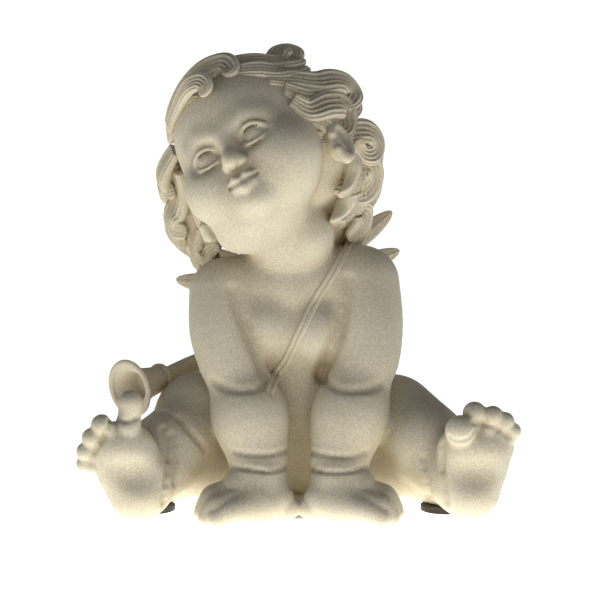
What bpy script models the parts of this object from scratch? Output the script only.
"""Seated cherub figurine, leaning on its hands, with small wings and a horn on a strap.

Metres, +Z up. The figure faces -Y, its left side is at +X, and the origin is on the
surface that it stands on.
"""

import math

import bmesh
import bpy
from mathutils import Matrix, Vector
from mathutils.bvhtree import BVHTree

# Driving dimensions
FIGURE_HEIGHT = 0.1965
PAD_RADIUS = 0.011
PAD_THICKNESS = 0.002
PAD_SIDES = 32
PAD_MARGIN = 0.0010
GLUE_GAP = 0.0003
GROUND_CLEARANCE = 0.0005
STRAP_WIDTH = 0.0042
STRAP_RISE = 0.0011
STRAP_ROOT = 0.0020
HORN_BELL_RADIUS = 0.0128
HORN_BELL_LENGTH = 0.022
HORN_NECK_RISE = 0.0036
HORN_NECK_REACH = 0.014
HORN_FLARE_REACH = 0.0032
HORN_RIM = 0.0030
HORN_MOUTH_DEPTH = 0.010
HORN_RING_RISE = 0.0014
HORN_TUBE_RADIUS = 0.0040
FEATHER_WIDTH = 0.0100
FEATHER_THICKNESS = 0.0040

# The pose and the carving are set out on a grid, with so many units to the figure's height.
GRID_HEIGHT = 196.5
UNIT = FIGURE_HEIGHT / GRID_HEIGHT
VOXEL = 1.2 * UNIT
SMOOTHING_PASSES = 2
FIGURE_TRIANGLES = 7300
BELL_SIDES = 20
BELL_RINGS = 5
FLARE_END = 0.75
RING_START = 0.80
RING_END = 0.93
RIM_THINNING = 0.4
RESIN_COLOUR = (0.74, 0.69, 0.56, 1.0)
FELT_COLOUR = (0.03, 0.025, 0.02, 1.0)

# Under hands and feet the casting is cut off at this level on the grid.
SOLE_LEVEL = 0.5

# Limbs of the right side (-X) and the left side (+X), as rolls of flesh between creases.
# Each roll is a row of points with radii: x, y, z, radius.
ARMS = (
    (((-31.5, -6, 91.5, 15.5), (-30.5, -12, 76, 16.4), (-27, -17, 61, 15.4)),
     ((-22.5, -22, 45, 15.6), (-19.5, -27, 37, 13.8)),
     ((-17, -33, 23, 11.8), (-17, -38, 17, 12))),
    (((27, -6, 96, 16), (27.5, -12, 79, 16.8), (25.5, -17, 63, 15.8)),
     ((22, -22, 46, 16), (19.5, -27, 37, 14)),
     ((17, -33, 23, 12), (17, -38, 17, 12))),
)
LEGS = (
    (((-18, 27, 26, 23), (-30, 14, 30, 21), (-42, 0, 34.5, 19.5)),
     ((-50, -12, 29, 17.5), (-57, -22, 25, 17.5)),
     ((-59, -31, 20, 13.5), (-64, -38, 17, 13)),
     ((-28, 10, 18, 15.5), (-46, -8, 18, 14.5), (-63, -18, 14, 12.5))),
    (((16, 27, 26, 23), (29, 14, 31, 22), (40, -2, 34.5, 21)),
     ((48, -11, 32, 18.5), (54, -21, 29, 18)),
     ((61, -31, 21, 13.5), (67, -38, 17, 13)),
     ((26, 10, 18, 15.5), (46, -8, 18, 14.5), (62, -18, 14, 12.5))),
)

# The left hand: balls of the palm, and the five fingers from the thumb
PALM = ((17, -38, 16, 12), (22, -40, 12, 11), (28, -40, 9.5, 8.5))
PALM_HEEL = ((17, -42, 11, 10), (10, -43, 9, 8.5), (6, -44, 6.5, 6))
FINGERS = (
    ((14, -50, 7.5, 6.5), (24, -55, 6.5, 5.2), (31.5, -56.5, 5, 4.2)),
    ((28, -48, 11.5, 5.2), (35, -52, 9, 4.6), (40.5, -53, 5, 3.7)),
    ((31, -42, 13.2, 5.2), (38, -44, 11.5, 4.5), (43.5, -45, 6, 3.6)),
    ((31, -35, 13.5, 5), (38, -36, 11.5, 4.3), (43.5, -37, 6.5, 3.5)),
    ((28, -28, 12.5, 4.6), (34, -28, 10, 3.8), (39, -29, 6, 3.2)),
)

# Feet: heel, arch and ball of the sole, then the five toes from the big one
SOLES = (
    (((-67.5, -43, 13), (12.5, 12, 12.5)), ((-71, -44, 23), (14, 10.5, 13)),
     ((-75, -44, 32), (15, 10.5, 11.5))),
    (((72, -43, 14), (12.5, 12, 13)), ((73, -44, 24), (14.5, 10.5, 13)),
     ((74, -44, 32.5), (16, 10.5, 11))),
)
TOES = (
    (((-71, -46, 42, 5), (-70.5, -44, 53, 5.2)), ((-77.5, -49, 39, 3.2), (-82, -50, 43, 4.6)),
     ((-82, -49, 34, 3.0), (-86.2, -49.5, 37.5, 4.3)), ((-84, -48, 29, 2.8), (-89, -48.5, 31.5, 3.9)),
     ((-84, -47, 24.5, 2.6), (-89.7, -47, 26, 3.4))),
    (((67, -48, 38, 5.0), (67, -54, 41.5, 5.8)), ((72, -49, 42, 3.8), (73, -49, 47.8, 5.0)),
     ((79, -49, 40, 3.2), (80.7, -49, 46.6, 4.4)), ((83.5, -48, 38, 3.0), (85.8, -48, 44.2, 4.0)),
     ((86.5, -47, 35, 2.6), (89.3, -47, 40, 3.4))),
)

# Trunk: pelvis, buttocks, belly, ribs, breasts and upper back, as centre and radii
TRUNK = (
    ((-1, 26, 30), (33, 26, 27)), ((-1, 14, 17), (25, 17, 15.5)),
    ((-18, 30, 22), (25, 22, 24)), ((16, 30, 22), (25, 22, 24)),
    ((-1, 7, 46), (25, 25, 27)), ((-2, 5, 75), (28, 23, 28)), ((-2, 14, 92), (32, 17, 18)),
    ((-14, -9, 78), (17, 16, 15.5)), ((8, -10, 76), (17, 16, 15.5)),
)
SHOULDERS = ((-26, -3, 92, 14), (-3, -3, 95, 17), (24, -3, 97, 14))
NECK = ((-1, 6, 98, 17), (-8, -5, 126, 19))
THROAT = ((-3, -12, 118), (18, 14, 14))

# Head, in its own frame: x to its left, y to its back, z up
HEAD_CENTRE = (-17.5, -10, 153)
HEAD_ROLL = math.radians(25)
HEAD_PITCH = math.radians(25)
HEAD_YAW = math.radians(15)
SKULL = (
    ((0, 2, 3), (33, 35, 34)), ((0, -6, 14), (28, 27, 21)),
    ((15, -17, -13), (16, 16.5, 16)), ((-15, -17, -13), (16, 16.5, 16)),
    ((0, -13, -22), (23, 19, 14)), ((-10, -6, -30), (19, 18, 11)), ((0, -26.5, -28), (7, 6, 5.5)),
)
NOSE = ((0, -31, 1, 3.2), (0, -36.2, -11, 4.2))
LIPS = ((-5.5, -31.5, -20.5, 2), (0, -33.5, -20.5, 2.8), (5.5, -31.5, -20.5, 2))
EYE_CENTRE = (11.5, -27.5, -4)
EYE_RADII = (6, 4.5, 4.6)
EAR_CENTRE = (35.5, 0, -15)
EAR_RADII = (5.0, 7.5)
EAR_RIM = 1.9

# The picture that the locks were read from: a pixel is so many grid units, and the grid's
# origin shows at the given pixel. Depths count on the grid, towards the figure's back.
PICTURE_UNIT = 0.43
PICTURE_ORIGIN = (299, 501.7)
PICTURE_ELEVATION = math.radians(9)

# The hair: masses under the locks, the first in the head's frame, and the locks that frame
# the face, each from root to tip: pixels across and down, depth and radius
HAIR_CAP = ((3, 13, 2), (36, 28.5, 34.5))
HAIR_SIDES = (((9, 5, 140), (16, 17, 30)), ((-41, 8, 132), (12, 12, 23)))
FACE_LOCKS = (
    ((172, 128, -6, 3.2), (177, 114, -9, 3.8), (188, 95, -12, 4.4), (203, 80, -14, 4.8), (217, 73, -16, 4.6),
     (227, 71, -19, 3.8), (232, 77, -23, 3.0), (226, 82, -26, 2.0)),
    ((171, 131, -10, 2.2), (182, 107, -20, 2.8), (192, 93, -26, 3.0), (203, 89, -29, 2.8), (209, 95, -32, 2.3),
     (204, 104, -33, 1.3)),
    ((217, 76, -14, 3.0), (236, 71, -15, 3.6), (258, 68, -14, 3.8), (277, 68, -10, 3.8), (292, 66, -4, 3.6),
     (298, 62, 1, 3.0)),
    ((262, 71, -6, 2.6), (275, 64, -4, 3.4), (280, 56, -1, 3.4), (288, 53, 2, 3.2), (295, 57, 1, 2.8),
     (294, 65, -3, 2.2)),
    ((236, 78, -22, 2.2), (258, 76, -23, 3.0), (277, 78, -19, 3.6), (293, 76, -10, 3.8), (304, 70, -4, 3.4)),
    ((268, 86, -26, 2.4), (293, 86, -19, 3.6), (317, 88, -12, 4.2), (333, 85, -6, 4.4), (345, 88, -4, 4.2),
     (351, 98, -4, 3.6), (345, 107, -9, 2.8), (338, 102, -13, 2.0)),
    ((285, 95, -27, 2.2), (309, 103, -22, 3.2), (331, 101, -12, 3.8), (344, 111, -7, 3.8), (348, 123, -8, 3.4),
     (359, 129, -6, 2.6)),
    ((293, 106, -30, 2.2), (309, 116, -28, 3.4), (327, 110, -20, 4.2), (340, 110, -12, 4.4), (344, 122, -12, 4.0),
     (344, 132, -15, 3.2), (336, 137, -20, 2.4), (330, 133, -23, 1.8)),
    ((338, 139, -18, 2.6), (354, 134, -12, 3.6), (368, 135, -8, 3.8), (375, 145, -7, 3.6), (372, 156, -9, 3.2),
     (363, 157, -13, 2.6), (358, 149, -16, 2.0), (363, 143, -17, 1.4)),
    ((354, 166, -10, 3.4), (368, 166, -7, 4.0), (372, 178, -5, 4.2), (366, 191, -6, 4.0), (356, 196, -9, 3.2),
     (350, 188, -12, 2.2)),
    ((333, 186, -16, 3.0), (348, 186, -12, 3.6), (357, 195, -9, 3.6), (353, 206, -9, 3.4), (342, 213, -11, 3.0),
     (333, 216, -13, 2.2)),
    ((333, 217, -6, 3.2), (348, 217, -4, 3.8), (361, 213, -2, 3.8), (362, 222, -2, 3.6), (355, 232, -3, 3.2),
     (347, 238, -5, 2.4)),
    ((311, 125, -28, 1.8), (323, 129, -25, 2.4), (328, 138, -24, 2.4), (321, 144, -26, 2.0), (314, 138, -29, 1.4)),
    ((176, 152, -6, 2.8), (166, 168, -3, 3.4), (163, 181, -1, 3.4), (168, 191, 0, 3.0), (176, 190, -1, 2.0)),
    ((178, 172, -4, 3.2), (182, 190, -1, 4.0), (178, 207, 2, 4.2), (172, 218, 3, 3.8), (176, 229, 3, 3.2),
     (187, 232, 1, 2.6)),
    ((187, 190, -2, 3.0), (196, 213, 0, 4.0), (205, 229, 0, 4.0), (219, 242, -2, 3.2)),
    ((198, 226, 2, 3.0), (195, 241, 4, 3.4), (197, 254, 4, 3.2), (205, 258, 2, 2.8), (211, 250, 0, 2.2),
     (219, 245, -2, 1.6)),
    ((350, 150, 2, 4.0), (364, 165, 6, 4.6), (365, 185, 8, 4.6), (357, 205, 8, 4.2), (350, 222, 6, 3.4)),
    ((176, 160, 8, 4.0), (173, 188, 10, 4.6), (182, 215, 10, 4.4), (192, 238, 8, 3.6)),
)
BACK_FORM = ((1, 14, -2), (35.5, 30, 36))
BACK_ROWS = ((6, 74, 250, 46), (9, 50, 262, 44), (11, 26, 256, 42), (11, 2, 268, 40), (8, -24, 262, 34))
BACK_REACH = (-88, 92)
BACK_CURL = 120
BACK_LIFT = 4
BACK_WIDTH = 11
LOCK_STEP = 5
LOCK_TAPER = ((0.6, 1.6), (2.0, -1.7))
LOCK_FULLNESS = 1.3
LOCK_SINK = 0.8
HAIR_FACETS = 2
SWAY = 18
SWAY_BY_LOCK = 2.4
SWAY_BY_ROW = 1.7

# Wings, as the angle above the horizon and the length of each feather
WING_ROOT = (-4.2, 29, 91)
WING_ROLL = math.radians(7.5)
WING_SWEEP = math.radians(8)
WING_SPREAD = 5
FLIGHT_FEATHERS = ((23, 48), (4, 44), (-9, 41), (-19, 38), (-33, 34), (-47, 30), (-60, 26))
COVERTS = ((18, 27), (0, 26), (-14, 25), (-31, 23), (-48, 20))
LAYER_DEPTH = 0.3
LAYER_SHIFT = 0.12

# The horn's line round the figure's back, from the bell's mouth to the mouthpiece
HORN_MOUTH = (-73, -2, 49.5)
HORN_LINE = ((-58.5, 14, 53.5), (-46, 25, 57), (-29, 31, 61), (-8, 33, 65), (9, 32, 70))

# The strap's line, as pairs of points: it lies where a ray from the first to the second lands.
STRAP_LINES = (
    ((-30, 66, 64, -4, 12, 64), (-8, 72, 74, 0, 10, 76), (12, 64, 94, 4, 8, 90),
     (24, 40, 116, 12, 6, 94), (26, 4, 124, 16, 0, 94), (22, -28, 114, 10, 2, 94),
     (12, -50, 96, 4, 5, 88), (2, -50, 80, 0, 8, 78), (-6, -50, 67, -3, 8, 66),
     (-12, -50, 58, -8, 8, 58), (-14.5, -50, 53, -9, 8, 54)),
    ((-62, 7, 71, -10, 10, 70), (-62, 20, 71, -8, 14, 70), (-52, 42, 71, -10, 16, 70)),
)
STRAP_STEPS = 3
STRAP_EASING = 2
PADS = {
    "felt_pad_leg_right": (-64, -18), "felt_pad_leg_left": (63, -18),
    "felt_pad_seat_right": (-19, 31), "felt_pad_seat_left": (17, 31),
}


def grid(*values):
    """A point on the pose grid, in metres."""
    return Vector(values[:3]) * UNIT


def head_frame():
    """The matrix from the head's own frame to the figure's, in metres."""
    turn = (Matrix.Rotation(-HEAD_ROLL, 4, "Y") @ Matrix.Rotation(-HEAD_PITCH, 4, "X")
            @ Matrix.Rotation(-HEAD_YAW, 4, "Z"))
    return Matrix.Translation(grid(*HEAD_CENTRE)) @ turn


def ball(clay, centre, radii, frame=Matrix.Identity(4)):
    """Adds an ellipsoid, with its centre and radii on the grid."""
    size = Matrix.Diagonal((*[r * UNIT for r in radii], 1))
    place = frame @ Matrix.Translation(grid(*centre)) @ size
    bmesh.ops.create_icosphere(clay, subdivisions=4, radius=1, matrix=place)


def roll(clay, start, end, frame=Matrix.Identity(4)):
    """Adds a round, tapered roll between two balls, each given as x, y, z and radius."""
    piece = bmesh.new()
    facets = 3 if max(start[3], end[3]) > 8 else HAIR_FACETS
    for x, y, z, radius in (start, end):
        place = frame @ Matrix.Translation(grid(x, y, z))
        bmesh.ops.create_icosphere(piece, subdivisions=facets, radius=radius * UNIT, matrix=place)
    hull = bmesh.ops.convex_hull(piece, input=piece.verts)
    inner = {v for v in hull["geom_interior"] + hull["geom_unused"] if isinstance(v, bmesh.types.BMVert)}
    bmesh.ops.delete(piece, geom=list(inner), context="VERTS")
    mesh = mesh_of(piece, "roll")
    clay.from_mesh(mesh)
    bpy.data.meshes.remove(mesh)


def chain(clay, points, frame=Matrix.Identity(4)):
    """Adds rolls through all the points."""
    for start, end in zip(points, points[1:]):
        roll(clay, start, end, frame)


def smooth_line(points, steps):
    """A Catmull-Rom curve through points of any number of coordinates."""
    ends = [points[0], *points, points[-1]]
    line = []
    for a, b, c, d in zip(ends, ends[1:], ends[2:], ends[3:]):
        for i in range(steps):
            t = i / steps
            line.append(tuple(
                0.5 * (2 * q + (r - p) * t + (2 * p - 5 * q + 4 * r - s) * t * t
                       + (3 * q - p - 3 * r + s) * t ** 3)
                for p, q, r, s in zip(a, b, c, d)))
    return [*line, tuple(points[-1])]


def seen(across, down, depth):
    """The point on the grid that shows at a pixel of the picture, at a depth."""
    x = (across - PICTURE_ORIGIN[0]) * PICTURE_UNIT
    height = (PICTURE_ORIGIN[1] - down) * PICTURE_UNIT
    return x, depth, (height - depth * math.sin(PICTURE_ELEVATION)) / math.cos(PICTURE_ELEVATION)


def mirrored(point):
    """A point of the left hand, on the right one."""
    x, *rest = point
    return (-x, *rest)


def mesh_of(form, name):
    """A bmesh as a mesh. The bmesh is freed."""
    mesh = bpy.data.meshes.new(name)
    form.to_mesh(mesh)
    form.free()
    return mesh


def add_trunk(clay):
    for centre, radii in TRUNK:
        ball(clay, centre, radii)
    chain(clay, SHOULDERS)
    chain(clay, NECK)
    ball(clay, *THROAT)


def add_limbs(clay):
    for limb in (*ARMS, *LEGS):
        for points in limb:
            chain(clay, points)


def add_hands(clay):
    for place in (mirrored, tuple):
        for form in (PALM, PALM_HEEL, *FINGERS):
            chain(clay, [place(p) for p in form])


def add_feet(clay):
    for sole, toes in zip(SOLES, TOES):
        for centre, radii in sole:
            ball(clay, centre, radii)
        for toe in toes:
            chain(clay, toe)


def add_head(clay):
    frame = head_frame()
    for centre, radii in SKULL:
        ball(clay, centre, radii, frame)
    chain(clay, NOSE, frame)
    chain(clay, LIPS, frame)
    across, back, up = EAR_CENTRE
    for side in (-1, 1):
        ball(clay, (side * EYE_CENTRE[0], *EYE_CENTRE[1:]), EYE_RADII, frame)
        turns = [math.radians(a) for a in range(-150, 151, 30)]
        rim = [(side * across, back + EAR_RADII[0] * math.cos(a), up + EAR_RADII[1] * math.sin(a),
                EAR_RIM) for a in turns]
        chain(clay, rim, frame)
        ball(clay, (side * (across - 2 * EAR_RIM), back, up), (EAR_RIM * 2, *EAR_RADII), frame)


def back_lock(turn, rise, heading, length, curl):
    """The points and radii of one lock that runs over the form at the back.

    It starts at a turn from straight back and a rise, heads off at an angle from the level,
    and turns by the curl towards its tip. Angles are in degrees.
    """
    centre, radii = Vector(BACK_FORM[0]), Vector(BACK_FORM[1])
    turn, rise = math.radians(turn), math.radians(rise)
    steps = round(length / LOCK_STEP)
    spot = Vector((math.cos(rise) * math.sin(turn), math.cos(rise) * math.cos(turn), math.sin(rise)))
    line = []
    for i in range(steps + 1):
        share = i / steps
        normal = Vector([a / r for a, r in zip(spot, radii)]).normalized()
        on_form = centre + Vector([a * r for a, r in zip(spot, radii)])
        radius = BACK_WIDTH / 2 * min(1, *[start + slope * share for start, slope in LOCK_TAPER])
        line.append((*(on_form + normal * BACK_LIFT * share ** 2), radius))
        level = Vector((normal.y, -normal.x, 0)).normalized()
        ahead = math.radians(heading + curl * share ** 2.5)
        step = level * math.cos(ahead) + level.cross(normal) * math.sin(ahead)
        moved = on_form + step * (length / steps)
        spot = Vector([(a - c) / r for a, c, r in zip(moved, centre, radii)]).normalized()
    return line


def back_locks():
    """Rows of locks down the back of the head, curling to either side by turns."""
    locks = []
    first, last = BACK_REACH
    for row, (count, rise, heading, length) in enumerate(BACK_ROWS):
        for i in range(count):
            turn = first + (last - first) * (i + 0.5 * (row % 2)) / (count - 0.5)
            side = 1 if (row + i) % 2 else -1
            sway = SWAY * math.sin(SWAY_BY_LOCK * i + SWAY_BY_ROW * row)
            locks.append(back_lock(turn, rise, heading + sway, length, BACK_CURL * side))
    return locks


def add_hair(clay):
    frame = head_frame()
    ball(clay, *HAIR_CAP, frame)
    for side in HAIR_SIDES:
        ball(clay, *side)
    for lock in back_locks():
        chain(clay, lock, frame)
    middle = frame @ grid(*HAIR_CAP[0]) / UNIT
    for lock in FACE_LOCKS:
        line = []
        for *spot, radius in smooth_line(lock, 2):
            spot = Vector(seen(*spot))
            sunk = spot + (middle - spot).normalized() * radius * LOCK_SINK
            line.append((*sunk, radius * LOCK_FULLNESS))
        chain(clay, line)


def add_wings(clay):
    """Two fans of feathers, each a flat blade with a round end, in two layers."""
    base = Matrix.Translation(grid(*WING_ROOT)) @ Matrix.Rotation(-WING_ROLL, 4, "Y")
    for side in (-1, 1):
        for depth, feathers in ((LAYER_DEPTH, FLIGHT_FEATHERS), (-LAYER_DEPTH, COVERTS)):
            for i, (angle, length) in enumerate(feathers):
                sweep = Matrix.Rotation(WING_SWEEP * side, 4, "Z")
                lean = Matrix.Rotation(-math.radians(angle) * side, 4, "Y")
                back = (depth + LAYER_SHIFT * (i % 2)) * FEATHER_THICKNESS / UNIT
                radii = (length / 2, FEATHER_THICKNESS / 2 / UNIT, FEATHER_WIDTH / 2 / UNIT)
                ball(clay, (side * (WING_SPREAD + length / 2), back, 0), radii, base @ sweep @ lean)


def add_horn_tube(clay):
    tube = [(*point, HORN_TUBE_RADIUS / UNIT) for point in HORN_LINE]
    chain(clay, tube)


def clay_object(parts):
    """The modelled body: its overlapping masses are fused by a voxel remesh."""
    clay = bmesh.new()
    for add in (add_trunk, add_limbs, add_hands, add_feet, add_head, add_hair, add_wings, add_horn_tube):
        add(clay)
    thing = bpy.data.objects.new("cherub", mesh_of(clay, "cherub"))
    parts.objects.link(thing)
    fuse = thing.modifiers.new("fuse", "REMESH")
    fuse.mode = "VOXEL"
    fuse.voxel_size = VOXEL
    fuse.use_smooth_shade = True
    soften = thing.modifiers.new("soften", "SMOOTH")
    soften.factor = 0.5
    soften.iterations = SMOOTHING_PASSES
    triangles = 2 * len(evaluated(thing).polygons)
    facet = thing.modifiers.new("facet", "DECIMATE")
    facet.ratio = FIGURE_TRIANGLES / triangles
    return thing


def evaluated(thing):
    """The mesh of an object with its modifiers, as the viewport shows it."""
    bpy.context.view_layer.update()
    graph = bpy.context.evaluated_depsgraph_get()
    return bpy.data.meshes.new_from_object(thing.evaluated_get(graph))


def horn_bell():
    """The flared bell with its hollow mouth and its ring, turned about its own axis."""
    flare_rise = HORN_BELL_RADIUS - HORN_TUBE_RADIUS - HORN_NECK_RISE

    def outside(back):
        return (HORN_TUBE_RADIUS + HORN_NECK_RISE * math.exp(-back / HORN_NECK_REACH)
                + flare_rise * math.exp(-back / HORN_FLARE_REACH))

    inner = [HORN_MOUTH_DEPTH * (1 - i / BELL_RINGS) for i in range(BELL_RINGS + 1)]
    outer = [HORN_BELL_LENGTH * FLARE_END * i / BELL_RINGS for i in range(BELL_RINGS + 1)]
    profile = [(0, -HORN_MOUTH_DEPTH)]
    profile += [(max(HORN_RIM / 5, outside(d) - HORN_RIM * (1 - RIM_THINNING * d / HORN_MOUTH_DEPTH)), -d)
                for d in inner]
    profile += [(outside(d), -d) for d in outer]
    ring = outside(HORN_BELL_LENGTH) + HORN_RING_RISE
    profile += [(ring, -HORN_BELL_LENGTH * RING_START), (ring, -HORN_BELL_LENGTH * RING_END),
                (HORN_TUBE_RADIUS, -HORN_BELL_LENGTH), (0, -HORN_BELL_LENGTH)]
    mesh = bpy.data.meshes.new("horn_bell")
    edges = [(i, i + 1) for i in range(len(profile) - 1)]
    mesh.from_pydata([(x, 0, z) for x, z in profile], edges, [])
    bell = bpy.data.objects.new("horn_bell", mesh)
    mouth = grid(*HORN_MOUTH)
    bell.rotation_mode = "QUATERNION"
    bell.rotation_quaternion = (mouth - grid(*HORN_LINE[0])).to_track_quat("Z", "Y")
    bell.location = mouth
    turn = bell.modifiers.new("turn", "SCREW")
    turn.steps = turn.render_steps = BELL_SIDES
    turn.use_merge_vertices = True
    turn.merge_threshold = 0.00005
    return bell


def strap_band(name, rays, skin):
    """A flat band laid on the figure along a row of rays."""
    stations = []
    for ray in smooth_line(rays, STRAP_STEPS):
        start, aim = grid(*ray[:3]), grid(*ray[3:])
        spot, normal, *_ = skin.ray_cast(start, (aim - start).normalized())
        stations.append((spot, normal))
    for _ in range(STRAP_EASING):
        middle = [[(a + 2 * b + c) / 4 for a, b, c in zip(*three)]
                  for three in zip(stations, stations[1:], stations[2:])]
        stations = [stations[0], *middle, stations[-1]]
    band = bmesh.new()
    rings = []
    for i, (spot, normal) in enumerate(stations):
        ahead = stations[min(i + 1, len(stations) - 1)][0] - stations[max(i - 1, 0)][0]
        across = ahead.cross(normal).normalized() * STRAP_WIDTH / 2
        up = across.cross(ahead).normalized()
        corners = ((across, STRAP_RISE), (across, -STRAP_ROOT),
                   (-across, -STRAP_ROOT), (-across, STRAP_RISE))
        rings.append([band.verts.new(spot + side + up * height) for side, height in corners])
    for one, two in zip(rings, rings[1:]):
        for i in range(4):
            band.faces.new((one[i], one[i - 1], two[i - 1], two[i]))
    band.faces.new(rings[0])
    band.faces.new(rings[-1][::-1])
    bmesh.ops.recalc_face_normals(band, faces=band.faces)
    return bpy.data.objects.new(name, mesh_of(band, name))


def ground_block():
    """A block whose top is the level at which the casting is cut off."""
    block = bmesh.new()
    bmesh.ops.create_cube(block, size=2 * FIGURE_HEIGHT)
    thing = bpy.data.objects.new("ground_block", mesh_of(block, "ground_block"))
    thing.location.z = SOLE_LEVEL * UNIT - FIGURE_HEIGHT
    return thing


def pad_flat(name, place):
    """A disc that cuts the casting flat over a pad."""
    disc = bmesh.new()
    bmesh.ops.create_cone(disc, cap_ends=True, segments=PAD_SIDES, radius1=PAD_RADIUS + PAD_MARGIN,
                          radius2=PAD_RADIUS + PAD_MARGIN, depth=FIGURE_HEIGHT)
    thing = bpy.data.objects.new(name, mesh_of(disc, name))
    flat_level = SOLE_LEVEL * UNIT - GROUND_CLEARANCE + PAD_THICKNESS + GLUE_GAP
    thing.location = (*grid(*place, 0).xy, flat_level - FIGURE_HEIGHT / 2)
    return thing


def combine(figure, tool, operation):
    cut = figure.modifiers.new(tool.name, "BOOLEAN")
    cut.operation = operation
    cut.object = tool


def material(name, colour, roughness):
    made = bpy.data.materials.new(name)
    made.use_nodes = True
    shader = made.node_tree.nodes["Principled BSDF"]
    shader.inputs["Base Color"].default_value = colour
    shader.inputs["Roughness"].default_value = roughness
    return made


def felt_pad(name, place, felt):
    """A round felt pad that the casting stands on."""
    pad = bmesh.new()
    bmesh.ops.create_cone(pad, cap_ends=True, segments=PAD_SIDES, radius1=PAD_RADIUS,
                          radius2=PAD_RADIUS, depth=PAD_THICKNESS)
    thing = bpy.data.objects.new(name, mesh_of(pad, name))
    thing.data.materials.append(felt)
    thing.location = (*grid(*place, 0).xy, PAD_THICKNESS / 2)
    return thing


def collection(name):
    made = bpy.data.collections.new(name)
    bpy.context.scene.collection.children.link(made)
    return made


def main():
    for old in list(bpy.data.objects):
        bpy.data.objects.remove(old)
    parts, tools = collection("cherub figurine"), collection("tools")

    stand = bpy.data.objects.new("stand", None)
    parts.objects.link(stand)
    figure = clay_object(parts)
    figure.parent = stand
    figure.data.materials.append(material("ivory resin", RESIN_COLOUR, 0.6))
    skin = BVHTree.FromObject(figure, bpy.context.evaluated_depsgraph_get())
    bands = [strap_band(f"strap_band_{i}", rays, skin) for i, rays in enumerate(STRAP_LINES)]
    flats = [pad_flat(f"flat_over_{name}", place) for name, place in PADS.items()]
    for tool, operation in (*[(band, "UNION") for band in bands], (horn_bell(), "UNION"),
                            (ground_block(), "DIFFERENCE"), *[(flat, "DIFFERENCE") for flat in flats]):
        tools.objects.link(tool)
        tool.display_type = "WIRE"
        tool.hide_render = True
        tool.parent = stand
        combine(figure, tool, operation)

    # The casting stands on its pads, and the origin is under the middle of its box.
    corners = [v.co for v in evaluated(figure).vertices]
    middle = [(min(c[i] for c in corners) + max(c[i] for c in corners)) / 2 for i in (0, 1)]
    stand.location = (-middle[0], -middle[1], GROUND_CLEARANCE - SOLE_LEVEL * UNIT)
    felt = material("dark felt", FELT_COLOUR, 0.95)
    for name, place in PADS.items():
        pad = felt_pad(name, place, felt)
        pad.location.x -= middle[0]
        pad.location.y -= middle[1]
        parts.objects.link(pad)


main()
